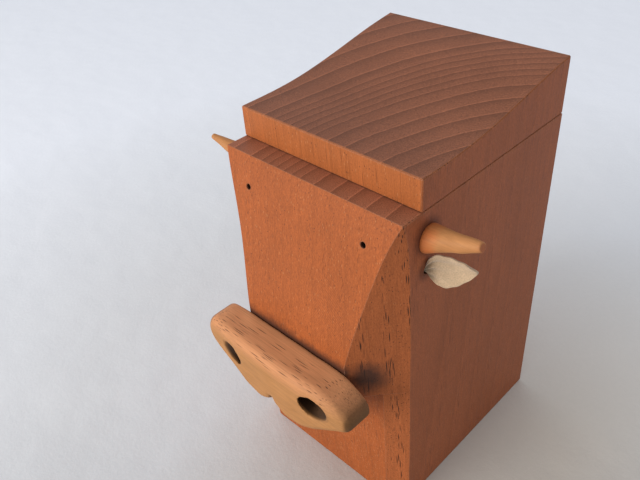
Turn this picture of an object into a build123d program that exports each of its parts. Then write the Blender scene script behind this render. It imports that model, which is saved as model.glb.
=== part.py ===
"""Wooden ox-head box: a block hollowed from the top, a lift-off lid, a glued-on muzzle, peg horns
and suede ears.

Millimetres, +Z up, the head faces -Y.  The origin is under the middle of the whole object, on
the surface that the box stands on.  "Right" is +X, the right-hand side for someone who
looks the head in the face.
"""
from build123d import *
from math import cos, radians, sin
import os

os.makedirs("parts", exist_ok=True)

# Block, cut from one length of wood with the grain upright
width = 70.0
body_height = 123.8
lid_depth = 72.0           # front to back, flush with the block's back and sides
edge_break = 0.35          # sanded edges

# Head profile, as reach in front of the lid's front face
nose_reach = 18.55
nose_top_drop = 52.2       # below the seam
nose_bottom_drop = 65.8
nose_half_width = 21.65

# Each forehead section: drop below the seam, half width of the face, its reach, reach of the side edge
forehead = [
    (0.0, 34.85, 7.65, 7.50),
    (10.5, 30.95, 10.50, 5.10),
    (21.0, 28.00, 12.45, 4.35),
    (36.0, 24.60, 15.45, 3.85),
    (nose_top_drop, nose_half_width, nose_reach, 3.50),
]
# The same for the throat, which is set back under the nose
throat = [
    (nose_bottom_drop, 29.25, 9.65, 3.50),
    (91.0, 28.80, 8.55, 3.00),
    (body_height, 28.50, 7.50, 3.20),
]
section_overlap = 6.0      # how far each section reaches back into the block

# Lid
lid_front_height = 10.2
lid_back_height = 18.9
lid_rise = [(20.0, 10.65), (43.0, 13.95), (60.0, 17.2)]   # distance back, height of the hollow top
plug_thickness = 8.0
plug_clearance = 0.3

# Cavity
cavity_width = 50.0
cavity_length = 54.0
cavity_depth = 108.0
cavity_corner = 8.0
mouth_chamfer = 0.6

# Eyes, drilled square to the forehead
eye_diameter = 2.0
eye_depth = 5.0
eye_half_spacing = 23.45
eye_drop = 9.75
eye_reach = 10.1
forehead_slope = 14.0      # degrees from upright, at the eyes

# Muzzle plank.  Its outline is cut by hand: x from the middle of the nose, y from the top edge.
muzzle_thickness = 12.8
muzzle_end_thickness = 10.4
muzzle_height = 22.6
muzzle_top_drop = 54.3
muzzle_round = 3.0
muzzle_top_left = (-23.5, 0)
muzzle_top_right = (18.5, 0)
muzzle_right_shoulder = [(25.9, -1.9), (30.5, -4.8)]
muzzle_right_end = (32.1, -8.6)
muzzle_right_jaw = [(28.2, -13.1), (16.8, -20.1)]
muzzle_right_lobe = (6.8, -muzzle_height)
muzzle_right_cleft = (2.2, -20.7)
muzzle_notch = (-0.5, -17.8)
muzzle_left_cleft = (-2.9, -20.4)
muzzle_left_lobe = (-6.3, -21.6)
muzzle_left_jaw = [(-17.8, -17.8), (-29.6, -12.6)]
muzzle_left_end = (-33.3, -7.4)
muzzle_left_shoulder = (-31.6, -2.4)

# Nostrils, drilled by hand on the slant towards the middle: -1 is the left one, 1 the right
nostril_diameter = {-1: 6.0, 1: 8.0}
nostril_slant = {-1: 54.0, 1: 50.0}
nostril_tilt = {-1: 25.0, 1: 5.0}    # degrees that the mouth is turned up from level
nostril_depth = 9.0
nostril_half_spacing = 18.2
nostril_drop = {-1: 9.5, 1: 8.0}     # below the muzzle's top edge
nostril_set_in = 1.5       # the slanted axis crosses the plank this far behind its front

# Muzzle dowels
dowel_diameter = 5.0
dowel_in_muzzle = 6.0
dowel_in_nose = 8.0
dowel_half_spacing = 7.0
dowel_drop = 59.5          # below the seam
dowel_chamfer = 0.5

# Horn pegs, whittled and set by hand: -1 is the left one, 1 the right
horn_base_radius = 4.15
horn_tip_radius = {-1: 0.85, 1: 1.45}
horn_length = 18.4
horn_rise = {-1: 19.0, 1: 18.0}      # degrees above level
horn_forward = {-1: 14.0, 1: 4.0}    # degrees towards the face
horn_back = 3.3            # behind the lid's front face
horn_drop = {-1: 11.2, 1: 9.5}
horn_skirt = 3.0           # the taper runs on inside the side face before it is trimmed flush
horn_tip_break = 0.4
tenon_radius = 2.5
tenon_length = 7.0
tenon_overlap = 2.0        # how far the tenon runs into the horn, and the root into the ear

# Suede ears
ear_length = 14.0
ear_half_width = 5.3
ear_start = 0.4            # gap between the leaf and the side of the block
ear_start_half_width = 3.2
ear_wide_at = 5.2
ear_thickness = 1.4
ear_cup_radius = 8.0
ear_root_radius = 1.6
ear_root_length = 6.0
ear_back = 3.4
ear_drop = 20.4
ear_sweep = 25.0           # degrees towards the back
ear_rise = 4.0

glue_gap = 0.05            # all round a tenon, root or dowel
hole_run_out = 1.0         # extra hole depth beyond the end of what it holds
drill_lead = 12.0          # how far outside its mouth each hole's cutter starts
blank_margin = 1.0         # how far a cutting outline runs past what it trims

# Places that follow from the sizes above
half_width = width / 2
back_y = (lid_depth + nose_reach + muzzle_thickness) / 2
lid_front_y = back_y - lid_depth
nose_y = lid_front_y - nose_reach
muzzle_top_z = body_height - muzzle_top_drop
cavity_y = lid_front_y + lid_depth / 2


def head_section(drop, face_half_width, reach, side_reach):
    """Outline of the head at one height."""
    with BuildSketch(Plane.XY.offset(body_height - drop)) as section:
        with BuildLine():
            Polyline(
                (-half_width, lid_front_y + section_overlap),
                (-half_width, lid_front_y - side_reach),
                (-face_half_width, lid_front_y - reach),
                (face_half_width, lid_front_y - reach),
                (half_width, lid_front_y - side_reach),
                (half_width, lid_front_y + section_overlap),
                close=True,
            )
        make_face()
    return section.sketch


def side_plane(side, back, drop, rise, sweep):
    """Plane on the left (-1) or right (+1) side face, its normal along a peg that leaves it."""
    level = cos(radians(rise))
    axis = Vector(side * level * cos(radians(sweep)), level * sin(radians(sweep)), sin(radians(rise)))
    across = Vector(0, 0, 1).cross(axis)
    origin = (side * half_width, lid_front_y + back, body_height - drop)
    return Plane(origin=origin, x_dir=across, z_dir=axis)


def horn_plane(side):
    return side_plane(side, horn_back, horn_drop[side], horn_rise[side], -horn_forward[side])


def ear_plane(side):
    return side_plane(side, ear_back, ear_drop, ear_rise, ear_sweep)


def drill(origin, outward, radius, depth):
    """Cut a round hole whose axis leaves the wood at origin, depth deep."""
    with BuildSketch(Plane(origin=origin, z_dir=outward).offset(drill_lead)) as mouth:
        Circle(radius)
    extrude(mouth.sketch, amount=-(drill_lead + depth), mode=Mode.SUBTRACT)


with BuildPart() as body:
    with BuildSketch(Plane.XY):
        with Locations((0, lid_front_y + lid_depth / 2)):
            Rectangle(width, lid_depth)
    extrude(amount=body_height)
    loft([head_section(*section) for section in forehead])
    extrude(head_section(*forehead[-1]), amount=nose_top_drop - nose_bottom_drop)
    loft([head_section(*section) for section in throat])
    base_edges = body.faces().sort_by(Axis.Z)[0].outer_wire().edges()
    chamfer(base_edges, edge_break)
    top_edges = body.faces().sort_by(Axis.Z)[-1].outer_wire().edges()
    chamfer(top_edges.filter_by(Axis.Y) + top_edges.sort_by(Axis.Y)[-1:], edge_break)
    with BuildSketch(Plane.XY.offset(body_height)):
        with Locations((0, cavity_y)):
            RectangleRounded(cavity_width, cavity_length, cavity_corner)
    extrude(amount=-cavity_depth, mode=Mode.SUBTRACT)
    mouth_edges = body.faces().sort_by(Axis.Z)[-1].inner_wires()[0].edges()
    chamfer(mouth_edges, mouth_chamfer)
    for side in (-1, 1):
        eye = (side * eye_half_spacing, lid_front_y - eye_reach, body_height - eye_drop)
        outward = (0, -cos(radians(forehead_slope)), sin(radians(forehead_slope)))
        drill(eye, outward, eye_diameter / 2, eye_depth)
        horn, ear = horn_plane(side), ear_plane(side)
        drill(horn.origin, horn.z_dir, tenon_radius + glue_gap, tenon_length + hole_run_out)
        drill(ear.origin, ear.z_dir, ear_root_radius + glue_gap, ear_root_length + hole_run_out)
        dowel_mouth = (side * dowel_half_spacing, nose_y, body_height - dowel_drop)
        drill(dowel_mouth, (0, -1, 0), dowel_diameter / 2 + glue_gap, dowel_in_nose + hole_run_out)
body.part.label = "body"
export_step(body.part, "parts/body.step")


with BuildPart() as lid:
    with BuildSketch(Plane.YZ.offset(-half_width)):
        with BuildLine():
            front_top = (lid_front_y, body_height + lid_front_height)
            back_top = (back_y, body_height + lid_back_height)
            hollow = [(lid_front_y + back, body_height + height) for back, height in lid_rise]
            Spline(front_top, *hollow, back_top, tangents=[(1, 0), (1, 0.13)])
            Polyline(back_top, (back_y, body_height), (lid_front_y, body_height), front_top)
        make_face()
    extrude(amount=width)
    chamfer(lid.edges(), edge_break)
lid.part.label = "lid"
export_step(lid.part, "parts/lid.step")


with BuildPart() as lid_plug:
    with BuildSketch(Plane.XY.offset(body_height)):
        with Locations((0, cavity_y)):
            plug_width = cavity_width - 2 * plug_clearance
            plug_length = cavity_length - 2 * plug_clearance
            RectangleRounded(plug_width, plug_length, cavity_corner - plug_clearance)
    extrude(amount=-plug_thickness)
    chamfer(lid_plug.faces().sort_by(Axis.Z)[0].edges(), 1.0)
lid_plug.part.label = "lid_plug"
export_step(lid_plug.part, "parts/lid_plug.step")


with BuildPart() as muzzle:
    muzzle_back = Plane(origin=(0, nose_y, muzzle_top_z), x_dir=(1, 0, 0), z_dir=(0, -1, 0))
    up, down, left, right = (0, 1), (0, -1), (-1, 0), (1, 0)
    into_notch, out_of_notch = (-0.35, 1), (-0.35, -1)
    with BuildSketch(muzzle_back):
        with BuildLine():
            Line(muzzle_top_left, muzzle_top_right)
            Spline(muzzle_top_right, *muzzle_right_shoulder, muzzle_right_end, tangents=[right, down])
            Spline(muzzle_right_end, *muzzle_right_jaw, muzzle_right_lobe, tangents=[down, left])
            Spline(muzzle_right_lobe, muzzle_right_cleft, muzzle_notch, tangents=[left, into_notch])
            Spline(muzzle_notch, muzzle_left_cleft, muzzle_left_lobe, tangents=[out_of_notch, left])
            Spline(muzzle_left_lobe, *muzzle_left_jaw, muzzle_left_end, tangents=[left, up])
            Spline(muzzle_left_end, muzzle_left_shoulder, muzzle_top_left, tangents=[up, right])
        make_face()
    extrude(amount=muzzle_thickness)
    with BuildSketch(Plane.XY.offset(muzzle_top_z)):
        with BuildLine():
            end = -muzzle_left_end[0] + blank_margin
            end_y = nose_y - muzzle_end_thickness
            ThreePointArc((-end, end_y), (0, nose_y - muzzle_thickness), (end, end_y))
            Polyline((end, end_y), (end, nose_y), (-end, nose_y), (-end, end_y))
        make_face()
    extrude(amount=-(muzzle_height + blank_margin), mode=Mode.INTERSECT)
    front_face = muzzle.faces().filter_by(GeomType.CYLINDER).sort_by(Axis.Y)[0]
    fillet(front_face.edges(), muzzle_round)
    for side in (-1, 1):
        nostril_y = nose_y - muzzle_thickness + nostril_set_in
        nostril = (side * nostril_half_spacing, nostril_y, muzzle_top_z - nostril_drop[side])
        slant, tilt = radians(nostril_slant[side]), radians(nostril_tilt[side])
        outward = (side * sin(slant) * cos(tilt), -cos(slant), sin(slant) * sin(tilt))
        drill(nostril, outward, nostril_diameter[side] / 2, nostril_depth)
        dowel_mouth = (side * dowel_half_spacing, nose_y, body_height - dowel_drop)
        drill(dowel_mouth, (0, 1, 0), dowel_diameter / 2 + glue_gap, dowel_in_muzzle + hole_run_out)
muzzle.part.label = "muzzle"
export_step(muzzle.part, "parts/muzzle.step")


for side, name in ((-1, "left"), (1, "right")):
    with BuildPart() as dowel:
        dowel_start = Plane(
            origin=(side * dowel_half_spacing, nose_y - dowel_in_muzzle, body_height - dowel_drop),
            z_dir=(0, 1, 0),
        )
        with BuildSketch(dowel_start):
            Circle(dowel_diameter / 2)
        extrude(amount=dowel_in_muzzle + dowel_in_nose)
        chamfer(dowel.edges(), dowel_chamfer)
    dowel.part.label = "muzzle_dowel_" + name
    export_step(dowel.part, "parts/muzzle_dowel_" + name + ".step")

    with BuildPart() as horn:
        root = horn_plane(side)
        taper = (horn_base_radius - horn_tip_radius[side]) / horn_length
        with BuildSketch(Plane(origin=root.origin, x_dir=root.x_dir, z_dir=root.y_dir)):
            with BuildLine():
                # x is out from the peg's axis, y runs against the way that the peg points
                Polyline(
                    (0, horn_skirt),
                    (horn_base_radius + taper * horn_skirt, horn_skirt),
                    (horn_tip_radius[side], -horn_length),
                    (0, -horn_length),
                    close=True,
                )
            make_face()
        revolve(axis=Axis(root.origin, root.z_dir))
        fillet(horn.edges().sort_by(Axis(root.origin, root.z_dir))[-1], horn_tip_break)
        side_face = Plane(origin=root.origin, z_dir=(side, 0, 0))
        split(bisect_by=side_face, keep=Keep.TOP)
        with BuildSketch(root.offset(-tenon_length)):
            Circle(tenon_radius)
        extrude(amount=tenon_length + tenon_overlap)
    horn.part.label = "horn_" + name
    export_step(horn.part, "parts/horn_" + name + ".step")

    with BuildPart() as ear:
        root = ear_plane(side)
        leaf_plane = Plane(origin=root.origin, x_dir=root.z_dir, z_dir=root.x_dir)
        with BuildSketch(leaf_plane):
            with BuildLine():
                tip = (ear_length, 0)
                low, wide = (ear_start, -ear_start_half_width), (ear_wide_at, -ear_half_width)
                Spline(low, wide, tip, tangents=[(0.2, -1), (0.85, 0.6)])
                mirror(about=Plane.XZ)
                Line(low, (ear_start, ear_start_half_width))
            make_face()
        extrude(amount=ear_cup_radius, both=True)
        with BuildSketch(root):
            with Locations((-side * ear_cup_radius, 0)):
                Circle(ear_cup_radius + ear_thickness / 2)
                Circle(ear_cup_radius - ear_thickness / 2, mode=Mode.SUBTRACT)
        extrude(amount=ear_length + blank_margin, mode=Mode.INTERSECT)
        with BuildSketch(root.offset(-ear_root_length)):
            Circle(ear_root_radius)
        extrude(amount=ear_root_length + tenon_overlap)
    ear.part.label = "ear_" + name
    export_step(ear.part, "parts/ear_" + name + ".step")
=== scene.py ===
"""Looks of the wooden ox-head box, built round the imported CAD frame.

Metres, +Z up, the head faces -Y.  Places come from the frame; sizes given in millimetres are
multiplied by MM.
"""
import math

import bmesh
import bpy
from mathutils import Matrix, Vector, noise


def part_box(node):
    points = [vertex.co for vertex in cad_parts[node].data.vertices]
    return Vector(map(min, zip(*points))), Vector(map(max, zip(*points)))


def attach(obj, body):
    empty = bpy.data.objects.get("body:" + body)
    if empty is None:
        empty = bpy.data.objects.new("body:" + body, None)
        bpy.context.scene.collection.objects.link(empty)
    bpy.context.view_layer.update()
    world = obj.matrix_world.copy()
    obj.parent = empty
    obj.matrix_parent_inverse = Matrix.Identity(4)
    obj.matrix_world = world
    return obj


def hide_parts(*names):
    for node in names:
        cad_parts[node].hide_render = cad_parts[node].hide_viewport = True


MM = 0.001
UP = Vector((0, 0, 1))

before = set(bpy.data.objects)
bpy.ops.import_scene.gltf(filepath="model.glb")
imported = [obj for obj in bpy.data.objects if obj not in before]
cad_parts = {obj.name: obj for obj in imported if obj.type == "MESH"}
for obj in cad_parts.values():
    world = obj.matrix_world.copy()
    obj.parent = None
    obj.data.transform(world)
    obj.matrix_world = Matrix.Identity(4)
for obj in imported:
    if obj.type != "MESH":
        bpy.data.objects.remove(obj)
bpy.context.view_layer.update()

lid_low, lid_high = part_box("lid")
body_low, body_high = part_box("body")
muzzle_low, muzzle_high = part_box("muzzle")
block = lid_high.x - lid_low.x     # the block's width, the unit of the camera's distances
seam = Vector((0, lid_low.y, body_high.z))   # middle of the lid's lower front edge
dowel_low, dowel_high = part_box("muzzle_dowel_left")
dowel_z = (dowel_low.z + dowel_high.z) / 2

sides = {"left": -1, "right": 1}

# The drilled holes, in millimetres and degrees, as in the CAD model
eye_half_spacing = 23.45
eye_drop = 9.75            # below the seam
eye_reach = 10.1           # before the seam
eye_slope = 14
eye_radius = 1.0
nostril_half_spacing = 18.2
nostril_set_in = 1.5       # behind the muzzle's foremost point
nostril_drop = {-1: 9.5, 1: 8.0}
nostril_slant = {-1: 54, 1: 50}
nostril_tilt = {-1: 25, 1: 5}
nostril_radius = {-1: 3.0, 1: 4.0}


# Camera ------------------------------------------------------------------------------------

def add_camera():
    azimuth, elevation, roll = math.radians(47.01), math.radians(36.55), math.radians(-4.61)
    target = seam + block * Vector((-0.061, 0, -0.387))
    distance = 3.088 * block
    level = math.cos(elevation)
    back = Vector((math.sin(azimuth) * level, -math.cos(azimuth) * level, math.sin(elevation)))
    right = UP.cross(back).normalized()
    up = back.cross(right)
    turned_right = math.cos(roll) * right + math.sin(roll) * up
    turned_up = -math.sin(roll) * right + math.cos(roll) * up
    data = bpy.data.cameras.new("camera")
    data.lens = 38.59
    data.sensor_width = 36
    data.clip_start = 0.01
    camera = bpy.data.objects.new("camera", data)
    camera.matrix_world = Matrix((
        (turned_right.x, turned_up.x, back.x, target.x + distance * back.x),
        (turned_right.y, turned_up.y, back.y, target.y + distance * back.y),
        (turned_right.z, turned_up.z, back.z, target.z + distance * back.z),
        (0, 0, 0, 1),
    ))
    bpy.context.scene.collection.objects.link(camera)
    bpy.context.scene.camera = camera


# Materials ---------------------------------------------------------------------------------

class Paint:
    """A material's node tree, with one short call for each kind of node."""

    def __init__(self, name):
        self.material = bpy.data.materials.new(name)
        self.material.use_nodes = True
        self.tree = self.material.node_tree
        self.tree.nodes.clear()
        place = self.node("TexCoord")
        self.place = self.vector("SCALE", place.outputs["Object"], scale=1 / MM)
        self.x, self.y, self.z = (self.axis(name) for name in "XYZ")
        self.facing = place.outputs["Normal"]

    def lean(self, slope):
        """Tip the grain: places shift along X by slope for each millimetre below the lid's seam."""
        below = self.add(seam.z / MM, self.times(self.z, -1))
        self.x = self.add(self.x, self.times(below, slope))
        self.place = self.node("CombineXYZ", {0: self.x, 1: self.y, 2: self.z}).outputs[0]

    def node(self, kind, inputs=None, **settings):
        made = self.tree.nodes.new("ShaderNode" + kind)
        for key, value in settings.items():
            setattr(made, key, value)
        for key, value in (inputs or {}).items():
            if isinstance(value, bpy.types.NodeSocket):
                self.tree.links.new(value, made.inputs[key])
            else:
                made.inputs[key].default_value = value
        return made

    def math(self, operation, *values, clamp=False):
        inputs = dict(enumerate(values))
        return self.node("Math", inputs, operation=operation, use_clamp=clamp).outputs[0]

    def add(self, *terms):
        total = terms[0]
        for term in terms[1:]:
            total = self.math("ADD", total, term)
        return total

    def times(self, *factors):
        product = factors[0]
        for factor in factors[1:]:
            product = self.math("MULTIPLY", product, factor)
        return product

    def vector(self, operation, a, b=(0, 0, 0), scale=1.0):
        return self.node("VectorMath", {0: a, 1: b, 3: scale}, operation=operation).outputs["Vector"]

    def larger(self, a, b):
        return self.math("MAXIMUM", a, b)

    def dot(self, a, b):
        return self.node("VectorMath", {0: a, 1: b}, operation="DOT_PRODUCT").outputs["Value"]

    def axis(self, name, source=None):
        return self.node("SeparateXYZ", {0: source or self.place}).outputs[name]

    def turned(self, name, low, high):
        """0 to 1 as the surface turns to face along an axis, either way."""
        return self.span(self.math("ABSOLUTE", self.axis(name, self.facing)), low, high)

    def away(self, centre, weights=(1, 1, 1)):
        """Distance in millimetres from a point in millimetres, each axis weighted."""
        offset = self.vector("SUBTRACT", self.place, centre)
        offset = self.vector("MULTIPLY", offset, weights)
        return self.math("SQRT", self.dot(offset, offset))

    def bored(self, mouth, axis, radius):
        """1 within radius of the line through mouth along axis, and the distance along it."""
        offset = self.vector("SUBTRACT", self.place, mouth)
        along = self.dot(offset, axis)
        square = self.add(self.dot(offset, offset), self.times(along, along, -1))
        from_axis = self.math("SQRT", self.larger(square, 0))
        return self.span(from_axis, radius + 0.3, radius), along

    def noise(self, per_mm, detail=3.0, roughness=0.55):
        inputs = {
            "Vector": self.vector("MULTIPLY", self.place, per_mm),
            "Scale": 1.0,
            "Detail": detail,
            "Roughness": roughness,
        }
        return self.node("TexNoise", inputs).outputs["Fac"]

    def pores(self, per_mm, share, radius):
        """1 inside long thin pores, one to a cell in the given share of the cells."""
        inputs = {"Vector": self.vector("MULTIPLY", self.place, per_mm), "Scale": 1.0}
        cell = self.node("TexVoronoi", inputs, feature="F1")
        chance = self.add(self.axis("X", cell.outputs["Color"]), share, -1.0)
        size = self.span(chance, 0.0, 0.12, 0.0, radius)
        return self.span(cell.outputs["Distance"], size, self.times(size, 0.5))

    def ramp(self, factor, stops):
        made = self.node("ValToRGB", {"Fac": factor})
        points = made.color_ramp.elements
        while len(points) < len(stops):
            points.new(0.5)
        for point, (position, value) in zip(points, stops):
            point.position = position
            point.color = (value, value, value, 1)
        return self.axis("X", made.outputs["Color"])

    def span(self, value, low, high, out_low=0.0, out_high=1.0):
        """value mapped from low..high to out_low..out_high, clamped."""
        inputs = {"Value": value, 1: low, 2: high, 3: out_low, 4: out_high}
        return self.node("MapRange", inputs).outputs["Result"]

    def mix(self, factor, a, b):
        made = self.node("Mix", {0: factor}, data_type="RGBA")
        for index, value in ((6, a), (7, b)):
            if isinstance(value, bpy.types.NodeSocket):
                self.tree.links.new(value, made.inputs[index])
            else:
                made.inputs[index].default_value = (*value, 1)
        return made.outputs[2]

    def shade(self, colour, *factors):
        """The colour multiplied by plain numbers."""
        return self.vector("SCALE", colour, scale=self.times(1.0, *factors))

    def finish(self, colour, roughness, height, depth_mm=0.1, specular=0.16, sheen=0.0, normal=None):
        bump = self.node("Bump", {"Height": height, "Distance": depth_mm * MM, "Strength": 1.0})
        if normal is not None:
            self.tree.links.new(normal, bump.inputs["Normal"])
        shader = self.node("BsdfPrincipled", {
            "Base Color": colour,
            "Roughness": roughness,
            "Specular IOR Level": specular,
            "Sheen Weight": sheen,
            "Normal": bump.outputs[0],
        })
        output = self.node("OutputMaterial")
        self.tree.links.new(shader.outputs[0], output.inputs["Surface"])
        return self.material


def rings_of_block(paint):
    """Growth rings round an upright pith beyond the block's front right corner.

    Returns the place within a ring: 0 just outside a ring's pale first line, 1 at the next."""
    pith_x, pith_before_lid = 66.5, 2.1
    ring, narrow_ring, wide_ring = 6.4, 3.3, 8.0
    narrow_from, narrow_to = 68, 88
    warp = paint.noise((0.03, 0.03, 0.006), detail=1.0)
    ripple = paint.noise((0.3, 0.3, 0.03), detail=2.0)
    across = paint.add(paint.x, -pith_x)
    back = paint.add(paint.y, pith_before_lid - seam.y / MM)
    radius = paint.math("SQRT", paint.add(paint.times(across, across), paint.times(back, back)))
    radius = paint.add(radius, paint.times(paint.add(warp, -0.5), 3.0))
    radius = paint.add(radius, paint.times(paint.add(ripple, -0.5), 0.7))
    narrow = paint.span(radius, narrow_from, narrow_to, 0, narrow_to - narrow_from)
    wide = paint.span(radius, narrow_to, narrow_to + 100, 0, 100)
    phase = paint.add(
        paint.times(radius, 1 / ring),
        paint.times(narrow, 1 / narrow_ring - 1 / ring),
        paint.times(wide, 1 / wide_ring - 1 / ring),
    )
    return paint.math("FRACT", phase)


def painted_shade(paint):
    """Painted shade from 0 to 1: above the muzzle's top, behind its ends, down the eye holes, round
    horn and ear roots.
    """
    nose_y, muzzle_top = muzzle_high.y / MM, muzzle_high.z / MM
    seam_y, seam_z = seam.y / MM, seam.z / MM
    patchy = paint.noise((0.25, 0.25, 0.25), detail=3.0)

    # Painted shade in the corner where the nose meets the muzzle's top.
    above_muzzle = paint.away((0, nose_y, muzzle_top), (0, 1, 1))
    along_nose = paint.span(paint.math("ABSOLUTE", paint.x), 22, 25, 1, 0)
    reach = paint.span(patchy, 0.3, 0.7, 2.5, 5.5)
    total = paint.times(paint.span(above_muzzle, 0.5, reach, 0.85, 0), along_nose)

    slope = math.radians(eye_slope)
    eye_axis = (0, -math.cos(slope), math.sin(slope))
    horn_height, horn_behind_seam, ear_behind_seam = 5.4, 2.6, 2.4
    for name, side in sides.items():
        # Painted shadow that each muzzle end casts on the cheek behind it.
        behind_end = paint.away((side * 26.4, nose_y + 5, muzzle_top - 3))
        behind_end = paint.add(behind_end, paint.times(paint.add(patchy, -0.5), 5.0))
        total = paint.larger(total, paint.span(behind_end, 2.5, 8.5, 0.85, 0))

        # Painted shade down each eye hole; it runs on along the hole's line through the block.
        eye = (side * eye_half_spacing, seam_y - eye_reach, seam_z - eye_drop)
        wall, along = paint.bored(eye, eye_axis, eye_radius + 0.1)
        total = paint.larger(total, paint.times(wall, paint.span(along, -0.1, -0.4, 0, 0.95)))

        flank_x = side * block / 2 / MM
        horn_low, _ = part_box("horn_" + name)
        ear_low, ear_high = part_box("ear_" + name)
        # Painted shade round the roots of the horn and the ear.
        at_horn = paint.away((flank_x, seam_y + horn_behind_seam, horn_low.z / MM + horn_height))
        at_ear = paint.away((flank_x, seam_y + ear_behind_seam, (ear_low.z + ear_high.z) / 2 / MM))
        total = paint.larger(total, paint.span(at_horn, 4.0, 7.0, 0.6, 0))
        total = paint.larger(total, paint.span(at_ear, 2.0, 4.5, 0.5, 0))
    return total


def upright_face(paint, phase, flank, cheek, fibre, speck):
    """Long grain: fine fibres, faint rings, pale flecks and short dark pores."""
    rings = paint.ramp(phase, [
        (0.0, 1.06), (0.12, 1.02), (0.7, 0.99), (0.95, 0.93), (1.0, 1.05),
    ])
    on_lid = paint.span(paint.z, seam.z / MM, seam.z / MM + 0.2)
    colour = paint.mix(on_lid, (0.36, 0.091, 0.022), (0.385, 0.11, 0.029))
    colour = paint.mix(flank, colour, (0.358, 0.106, 0.042))
    colour = paint.mix(cheek, colour, (0.42, 0.117, 0.036))
    # Painted shade: the cheeks are darker from the muzzle's height upwards.
    upper_cheek_shade = paint.times(cheek, paint.span(paint.z, 50, 66))
    colour = paint.shade(
        colour,
        paint.span(upper_cheek_shade, 0, 1, 1, 0.84),
        rings,
        paint.span(fibre, 0.28, 0.72, 0.84, 1.14),
        paint.span(speck, 0.35, 0.65, 0.8, 1.2),
    )
    fleck = paint.pores((2.4, 2.4, 0.6), paint.span(paint.z, 35, 60, 0.6, 0.2), 0.36)
    fleck = paint.times(fleck, paint.span(flank, 0, 1, 0.5, 0.2), paint.span(cheek, 0, 1, 1, 0.4))
    colour = paint.mix(fleck, colour, (0.57, 0.26, 0.11))
    dot = paint.pores((1.7, 1.7, 1.0), paint.span(cheek, 0, 1, 0.19, 0.3), 0.3)
    dot = paint.times(dot, 0.85, paint.span(flank, 0, 1, 1, 0.2))
    return paint.mix(dot, colour, (0.05, 0.02, 0.012))


def end_face(paint, phase, speck):
    """End grain: brown, with a pale line on each ring; paler on the ledge before the lid."""
    rings = paint.ramp(phase, [
        (0.0, 1.6), (0.07, 1.15), (0.5, 1.03), (0.85, 0.83), (0.96, 0.75), (1.0, 1.45),
    ])
    ledge = paint.span(paint.y, seam.y / MM - 0.2, seam.y / MM, 1.3, 1.0)
    return paint.shade(
        (0.235, 0.082, 0.04), rings, ledge, paint.span(speck, 0.35, 0.65, 0.58, 1.42)
    )


def scraper_ripples(paint, cloud):
    """Ripple marks, -1 to 1, low down on the forehead's right half."""
    pitch, centre_x, centre_z = 0.65, 14, 84
    across = paint.add(paint.times(paint.x, 0.62), paint.times(paint.z, 0.78), paint.times(cloud, 6.0))
    wave = paint.math("SINE", paint.times(across, 2 * math.pi / pitch))
    from_centre = paint.away((centre_x, muzzle_high.y / MM, centre_z), (1, 0, 1))
    facing_front = paint.span(paint.axis("Y", paint.facing), -0.8, -0.9)
    return paint.times(wave, paint.span(from_centre, 8, 20, 1, 0), facing_front)


def block_wood():
    """Reddish ring-porous hardwood, grain upright but leaning a little, thin oil."""
    grain_lean, edge_radius = 0.052, 0.45
    paint = Paint("block_wood_grain")
    # dark is painted shade, from 0 to 1.
    dark = painted_shade(paint)
    paint.lean(-grain_lean)
    phase = rings_of_block(paint)
    end_grain = paint.turned("Z", 0.6, 0.85)
    flank = paint.turned("X", 0.9, 0.99)
    cheek = paint.times(paint.turned("X", 0.3, 0.6), paint.span(flank, 0, 1, 1, 0))
    fibre = paint.noise((2.2, 2.2, 0.05), detail=4.0, roughness=0.6)
    speck = paint.noise((3.0, 3.0, 1.3), detail=4.0, roughness=0.8)
    cloud = paint.noise((0.05, 0.05, 0.02), detail=2.0)

    face = upright_face(paint, phase, flank, cheek, fibre, speck)
    colour = paint.mix(end_grain, face, end_face(paint, phase, speck))
    ripples = scraper_ripples(paint, cloud)
    colour = paint.shade(
        colour, paint.span(cloud, 0.3, 0.7, 0.93, 1.07), paint.add(1.0, paint.times(ripples, 0.1))
    )

    early = paint.times(paint.span(phase, 0.18, 0.38, 1.0, 0.13), paint.span(cheek, 0, 1, 0.75, 1.0))
    pore = paint.pores((2.0, 2.0, 0.1), early, 0.37)
    depth = paint.add(0.3, paint.times(cheek, 0.65))
    colour = paint.mix(paint.times(pore, depth), colour, (0.03, 0.012, 0.008))
    # Painted shade darkens the wood here, down to near black.
    colour = paint.mix(dark, colour, (0.035, 0.02, 0.016))

    rounded = paint.node("Bevel", {"Radius": edge_radius * MM}, samples=4).outputs[0]
    true_normal = paint.node("NewGeometry").outputs["Normal"]
    # Every edge, inside corners as well as outside ones, is made paler below.
    edge = paint.span(paint.dot(rounded, true_normal), 0.98, 0.85)
    pale_edge = paint.times(edge, paint.span(speck, 0.35, 0.6, 0.25, 0.7))
    colour = paint.mix(pale_edge, colour, (0.52, 0.26, 0.15))

    bumps = paint.add(paint.times(fibre, 0.35), paint.times(ripples, 0.25), paint.times(pore, -1))
    roughness = paint.span(fibre, 0.2, 0.8, 0.46, 0.62)
    return paint.finish(colour, roughness, bumps, depth_mm=0.06, normal=rounded)


def nostril_walls(paint, top, front):
    """1 on the walls of the drilled nostrils, 0 on the face round their mouths."""
    face_depth = 0.85          # the face curves back this far at the nostrils
    behind = paint.add(paint.y, -front)
    total = 0.0
    for side in sides.values():
        slant, tilt = math.radians(nostril_slant[side]), math.radians(nostril_tilt[side])
        axis = (
            side * math.sin(slant) * math.cos(tilt), -math.cos(slant), math.sin(slant) * math.sin(tilt)
        )
        mouth = (side * nostril_half_spacing, front + nostril_set_in, top - nostril_drop[side])
        wall, _ = paint.bored(mouth, axis, nostril_radius[side] + 0.3)
        inside = paint.times(wall, paint.span(behind, face_depth + 0.1, face_depth + 1.2))
        total = paint.larger(total, inside)
    return total


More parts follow.
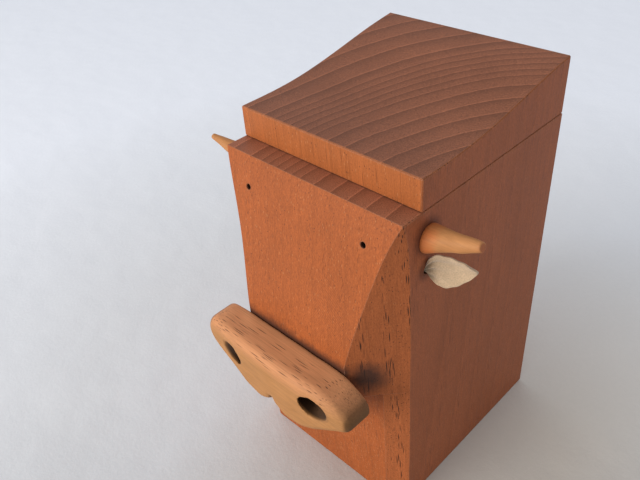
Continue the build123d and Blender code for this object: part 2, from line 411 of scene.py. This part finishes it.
def muzzle_wood():
    """Yellower wood with its grain along X; a porous band runs along the top front edge."""
    paint = Paint("muzzle_wood_grain")
    top = muzzle_high.z / MM
    front = muzzle_low.y / MM
    below = paint.add(paint.z, -top)
    behind = paint.add(paint.y, -front)
    fibre = paint.noise((0.05, 2.4, 2.4), detail=4.0, roughness=0.6)
    cloud = paint.noise((0.05, 0.2, 0.2), detail=2.0)
    layer = paint.add(below, paint.times(behind, 0.3), paint.times(cloud, 3.0), -1.5)
    colour = paint.mix(paint.span(layer, -6, -0.5), (0.43, 0.197, 0.069), (0.58, 0.25, 0.108))
    end_grain = paint.turned("X", 0.4, 0.7)
    colour = paint.shade(
        colour,
        paint.span(fibre, 0.3, 0.7, 0.84, 1.14),
        paint.span(cloud, 0.3, 0.7, 0.94, 1.06),
        paint.span(end_grain, 0, 1, 1, 0.38),
    )
    share = paint.add(
        paint.times(paint.span(layer, -3.5, -1.0), paint.span(layer, 3.0, 1.5), 0.75), 0.05,
    )
    pore = paint.pores((0.09, 2.4, 2.4), share, 0.32)
    pore = paint.times(pore, paint.span(end_grain, 0, 1, 1, 0.3))
    colour = paint.mix(paint.times(pore, 0.85), colour, (0.05, 0.022, 0.014))

    # Painted shade on the nostril walls, near black.
    hole_shade = paint.times(nostril_walls(paint, top, front), paint.span(fibre, 0.3, 0.7, 0.8, 0.92))
    colour = paint.mix(hole_shade, colour, (0.035, 0.02, 0.015))

    bumps = paint.add(paint.times(fibre, 0.3), paint.times(pore, -1))
    return paint.finish(colour, paint.span(fibre, 0.2, 0.8, 0.5, 0.64), bumps, depth_mm=0.06)


def horn_wood(name):
    """Pale orange wood, grain along the peg, redder where it meets the block, brown end grain."""
    paint = Paint(name)
    out = paint.add(paint.math("ABSOLUTE", paint.x), -block / 2 / MM)
    fibre = paint.noise((0.06, 1.8, 1.8), detail=4.0, roughness=0.6)
    blotch = paint.noise((0.2, 0.3, 0.3), detail=2.0)
    redness = paint.span(paint.add(out, paint.times(blotch, -6.0)), -2.0, 3.0, 0.9, 0)
    colour = paint.mix(redness, (0.5, 0.218, 0.078), (0.54, 0.15, 0.042))
    sawn_tip = paint.times(paint.turned("X", 0.8, 0.95), paint.span(out, 12, 14))
    tip = paint.larger(sawn_tip, paint.span(out, 16, 18.5, 0, 0.6))
    colour = paint.mix(tip, colour, (0.42, 0.135, 0.055))
    colour = paint.shade(
        colour, paint.span(fibre, 0.25, 0.75, 0.86, 1.1), paint.span(blotch, 0.3, 0.7, 0.94, 1.05)
    )
    pore = paint.pores((0.16, 1.9, 1.9), 0.12, 0.26)
    colour = paint.mix(paint.times(pore, 0.5), colour, (0.16, 0.06, 0.03))
    bumps = paint.add(fibre, paint.times(pore, -0.6))
    return paint.finish(colour, paint.span(fibre, 0.2, 0.8, 0.45, 0.6), bumps, depth_mm=0.05)


def suede(name):
    """Pale suede: a short matt nap over a soft mottle, with painted shade towards the root."""
    paint = Paint(name)
    nap = paint.noise((2.4, 2.4, 2.4), detail=4.0, roughness=0.8)
    mottle = paint.noise((0.35, 0.35, 0.35), detail=3.0)
    # Painted shade: the ear darkens towards its root.
    root = paint.span(paint.add(paint.math("ABSOLUTE", paint.x), -block / 2 / MM), -1, 4, 0.62, 1)
    colour = paint.shade(
        (0.57, 0.405, 0.255),
        paint.span(nap, 0.32, 0.68, 0.8, 1.2),
        paint.span(mottle, 0.3, 0.7, 0.9, 1.08),
        root,
    )
    bumps = paint.add(nap, paint.times(mottle, 0.8))
    return paint.finish(colour, 0.95, bumps, depth_mm=0.1, specular=0.05, sheen=0.3)


def plain_wood(name, colour, grain_axis):
    """Plain wood with fine straight grain along one axis."""
    paint = Paint(name)
    along = [axis == grain_axis for axis in "XYZ"]
    fibre = paint.noise([0.03 if on else 2.0 for on in along], detail=4.0)
    band = paint.noise([0.005 if on else 0.35 for on in along], detail=2.0)
    colour = paint.shade(
        colour, paint.span(fibre, 0.25, 0.75, 0.86, 1.1), paint.span(band, 0.3, 0.7, 0.85, 1.1)
    )
    pore = paint.pores([0.12 if on else 1.5 for on in along], 0.16, 0.25)
    colour = paint.mix(paint.times(pore, 0.6), colour, (0.06, 0.025, 0.015))
    bumps = paint.add(fibre, paint.times(pore, -0.8))
    return paint.finish(colour, paint.span(fibre, 0.2, 0.8, 0.5, 0.65), bumps, depth_mm=0.05)


# Pieces ------------------------------------------------------------------------------------

def paint_node(name, material):
    """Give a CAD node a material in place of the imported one."""
    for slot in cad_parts[name].material_slots:
        slot.link = "OBJECT"
        slot.material = material


def settle(piece, node_name, material, body):
    """Dress a detailed piece that stands in for a CAD node."""
    piece.data.materials.clear()
    piece.data.materials.append(material)
    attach(piece, body)
    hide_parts(node_name)


def is_dowel_edge(edge):
    """Whether an edge of the muzzle's back belongs to the mouth of a dowel hole."""
    return all(abs(vert.co.x) < 12 * MM and abs(vert.co.z - dowel_z) < 3 * MM for vert in edge.verts)


def carved(node_name, piece_name, voxel_mm, rounds, wobble_mm, rounded_back_mm=0.0, root_swell_mm=0.0):
    """A hand-finished copy of a CAD node: evenly meshed, edges sanded, faces a little uneven.

    root_swell_mm is how much a peg swells just outside the block."""
    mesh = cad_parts[node_name].data.copy()
    work = bmesh.new()
    work.from_mesh(mesh)
    bmesh.ops.remove_doubles(work, verts=work.verts, dist=0.002 * MM)
    if rounded_back_mm:
        back_y = max(vert.co.y for vert in work.verts)
        rim = [
            edge for edge in work.edges
            if all(back_y - vert.co.y < 0.01 * MM for vert in edge.verts)
            and edge.calc_face_angle(0) > 1
            and not is_dowel_edge(edge)
        ]
        bmesh.ops.bevel(
            work, geom=rim, offset=rounded_back_mm * MM, segments=3, profile=0.5, affect="EDGES"
        )
    work.to_mesh(mesh)
    work.free()
    piece = bpy.data.objects.new(piece_name, mesh)
    bpy.context.scene.collection.objects.link(piece)
    remesh = piece.modifiers.new("remesh", "REMESH")
    remesh.mode = "VOXEL"
    remesh.voxel_size = voxel_mm * MM
    remesh.use_smooth_shade = True
    smooth = piece.modifiers.new("smooth", "SMOOTH")
    smooth.factor = 0.5
    smooth.iterations = rounds
    evaluated = piece.evaluated_get(bpy.context.evaluated_depsgraph_get())
    finished = bpy.data.meshes.new_from_object(evaluated)
    piece.modifiers.clear()
    piece.data = finished
    normals = [normal.vector.copy() for normal in finished.vertex_normals]
    for vert, normal in zip(finished.vertices, normals):
        lump = wobble_mm * noise.noise(vert.co * (0.18 / MM))
        from_swell = abs(abs(vert.co.x) - block / 2 - 1.0 * MM) / (3.5 * MM)
        vert.co += normal * ((lump + root_swell_mm * max(0.0, 1 - from_swell)) * MM)
    return piece


def between(stops, place):
    """A smooth curve through (place, value) stops: cubic, its slopes taken from the neighbours."""
    def slope(i):
        before, after = stops[max(i - 1, 0)], stops[min(i + 1, len(stops) - 1)]
        return (after[1] - before[1]) / (after[0] - before[0])

    for i, ((start, a), (end, b)) in enumerate(zip(stops, stops[1:])):
        if place <= end or i == len(stops) - 2:
            step = end - start
            t = min(1.0, (place - start) / step)
            return (
                a * (1 + 2 * t) * (1 - t) ** 2
                + slope(i) * step * t * (1 - t) ** 2
                + b * t * t * (3 - 2 * t)
                - slope(i + 1) * step * t * t * (1 - t)
            )


def ear_mesh(side):
    """A cupped leaf of suede, pinched into pleats where it enters the block.

    Lengths in mm: out along the leaf, up across it, forward off it."""
    top_edge = [
        (-2.5, 0.9), (-0.8, 1.2), (0.7, 4.2), (2.6, 6.3), (5, 6.1), (8, 5.1), (11, 3.6), (14, 0.8),
    ]
    low_edge = [
        (-2.5, -0.9), (-0.8, -1.1), (0.7, -2.7), (2.6, -3.9),
        (5, -4.6), (8, -4.1), (11, -2.5), (14, 0.2),
    ]
    half_thick, cup, pleat = 0.6, 1.6, 0.55
    root_back, root_drop = 3.4, 20.4
    sweep, rise = math.radians(25), math.radians(4)
    start, end = top_edge[0][0], top_edge[-1][0]
    outward = Vector((
        side * math.cos(rise) * math.cos(sweep), math.cos(rise) * math.sin(sweep), math.sin(rise)
    ))
    forward = side * outward.cross(UP).normalized()
    upward = side * forward.cross(outward)
    root = Vector((side * block / 2, seam.y + root_back * MM, seam.z - root_drop * MM))
    rows, columns = ((90, 56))

    def centre_point(out, t):
        high, low = between(top_edge, out), between(low_edge, out)
        up = low + (high - low) * (t + 1) / 2
        up += 0.12 * math.sin(out * 1.9 + side) * abs(t) ** 3
        spread = min(1.0, max(0.0, (out + 0.5) / 3.5))
        length_way = min(1.0, max(0.0, (out + 1) / 15))
        ahead = cup * spread * abs(t) ** 2.4 * math.sin(math.pi * length_way ** 0.8) ** 0.5
        near_root = math.exp(-max(0.0, out - 0.6) / 2.8) * min(1.0, max(0.0, (out + 0.8) / 1.6))
        ahead += pleat * near_root * math.sin(t * 11 + 0.6 * side)
        if t > 0.45:
            ahead += 1.3 * near_root * (t - 0.45) / 0.55     # the top pleat is folded forward
        ahead += 0.25 * math.sin(out * 0.55 + t * 1.3)
        return out, up, ahead

    verts, faces = [], []
    for face in (1, -1):
        for i in range(rows + 1):
            out = start + (end - start) * (i / rows)
            taper = (1 - max(0.0, (i / rows - 0.9) / 0.1) ** 2.5) ** 0.5 if i < rows else 0.0
            for j in range(columns + 1):
                t = math.sin((j / columns - 0.5) * math.pi)
                out_mm, up_mm, ahead_mm = centre_point(out, t)
                rim = (1 - abs(t) ** 9) ** 0.5 if 0 < j < columns else 0.0
                off = ahead_mm + face * half_thick * rim * taper
                verts.append(root + MM * (outward * out_mm + upward * up_mm + forward * off))
    stride = columns + 1
    sheet = (rows + 1) * stride
    for face in (0, 1):
        for i in range(rows):
            for j in range(columns):
                a = face * sheet + i * stride + j
                faces.append([a, a + 1, a + stride + 1, a + stride])
    for i in range(columns):                                # close the root end
        faces.append([i, sheet + i, sheet + i + 1, i + 1])
    mesh = bpy.data.meshes.new("ear_leaf")
    mesh.from_pydata(verts, [], faces)
    work = bmesh.new()
    work.from_mesh(mesh)
    bmesh.ops.remove_doubles(work, verts=work.verts, dist=0.004 * MM)
    bmesh.ops.recalc_face_normals(work, faces=work.faces)
    for polygon in work.faces:
        polygon.smooth = True
    work.to_mesh(mesh)
    work.free()
    return mesh


block_paint = block_wood()
paint_node("body", block_paint)
paint_node("lid", block_paint)
paint_node("lid_plug", plain_wood("plug_wood_grain", (0.42, 0.17, 0.07), "X"))
muzzle = carved("muzzle", "muzzle_plank", 0.35, 7, 0.18, rounded_back_mm=1.1)
settle(muzzle, "muzzle", muzzle_wood(), "block")
for name, side in sides.items():
    paint_node("muzzle_dowel_" + name, plain_wood("dowel_wood_grain_" + name, (0.5, 0.3, 0.15), "Y"))
    horn = carved("horn_" + name, "horn_peg_" + name, 0.22, 5, 0.25, root_swell_mm=0.35)
    settle(horn, "horn_" + name, horn_wood("horn_wood_grain_" + name), "block")
    ear = bpy.data.objects.new("ear_leaf_" + name, ear_mesh(side))
    bpy.context.scene.collection.objects.link(ear)
    settle(ear, "ear_" + name, suede("ear_suede_nap_" + name), "block")


# Floor, world and lights -------------------------------------------------------------------

def add_floor():
    reach = 2.0
    mesh = bpy.data.meshes.new("floor")
    corners = [(-reach, -reach, 0), (reach, -reach, 0), (reach, reach, 0), (-reach, reach, 0)]
    mesh.from_pydata(corners, [], [(0, 1, 2, 3)])
    floor = bpy.data.objects.new("floor", mesh)
    bpy.context.scene.collection.objects.link(floor)
    paint = Paint("floor_cloth")
    weave = paint.noise((0.5, 0.5, 0.5), detail=5.0, roughness=0.7)
    fold = paint.noise((0.03, 0.03, 0.03), detail=2.0)
    far = paint.span(paint.away((0, 0, 0)), 130, 330)
    colour = paint.mix(far, (0.745, 0.74, 0.74), (0.92, 0.925, 0.96))
    # Painted shadow and warm bounce light on the floor beside the block's right side.
    painted_shadow_and_bounce = paint.span(paint.away((55, 0, 0), (1, 0.6, 1)), 20, 110, 0.8, 0)
    colour = paint.mix(painted_shadow_and_bounce, colour, (0.62, 0.55, 0.46))
    # Painted shadow: the floor darkens towards the front right.
    painted_shadow_run = paint.add(paint.times(paint.x, 0.73), paint.times(paint.y, -0.68))
    colour = paint.shade(
        colour, paint.span(weave, 0.3, 0.7, 0.985, 1.015), paint.span(painted_shadow_run, -20, 90, 1.0, 0.8)
    )
    bumps = paint.add(paint.times(fold, 2.0), paint.times(weave, 0.3))
    mesh.materials.append(paint.finish(colour, 0.95, bumps, depth_mm=0.55, specular=0.05))


def add_light(name, azimuth, elevation, distance, size, power, colour):
    """A soft square light that looks at the block. Azimuth 0 is in front of the face, 90 at +X."""
    a, e = math.radians(azimuth), math.radians(elevation)
    back = Vector((math.sin(a) * math.cos(e), -math.cos(a) * math.cos(e), math.sin(e)))
    data = bpy.data.lights.new(name, "AREA")
    data.size = size
    data.energy = power
    data.color = colour
    light = bpy.data.objects.new(name, data)
    light.location = Vector((0, 0, seam.z / 2)) + back * distance
    light.rotation_mode = "QUATERNION"
    light.rotation_quaternion = (-back).to_track_quat("-Z", "Y")
    bpy.context.scene.collection.objects.link(light)


def add_world():
    """Pale surroundings, brighter on the key light's side and dimmer towards +X."""
    world = bpy.data.worlds.new("studio")
    world.use_nodes = True
    tree = world.node_tree
    background = tree.nodes["Background"]
    background.inputs["Color"].default_value = (0.9, 0.94, 1.0, 1)
    place = tree.nodes.new("ShaderNodeTexCoord")
    towards = tree.nodes.new("ShaderNodeVectorMath")
    towards.operation = "DOT_PRODUCT"
    towards.inputs[1].default_value = (-0.8, -0.45, 0.4)
    tree.links.new(place.outputs["Generated"], towards.inputs[0])
    strength = tree.nodes.new("ShaderNodeMapRange")
    for index, value in ((1, -1.0), (2, 1.0), (3, 0.36), (4, 1.02)):
        strength.inputs[index].default_value = value
    tree.links.new(towards.outputs["Value"], strength.inputs["Value"])
    tree.links.new(strength.outputs["Result"], background.inputs["Strength"])
    bpy.context.scene.world = world


add_camera()
add_floor()
add_world()
add_light("key", -17, 9, 1.2, 0.7, 11.0, (1.0, 0.96, 0.9))
bpy.context.scene.view_settings.view_transform = "Standard"
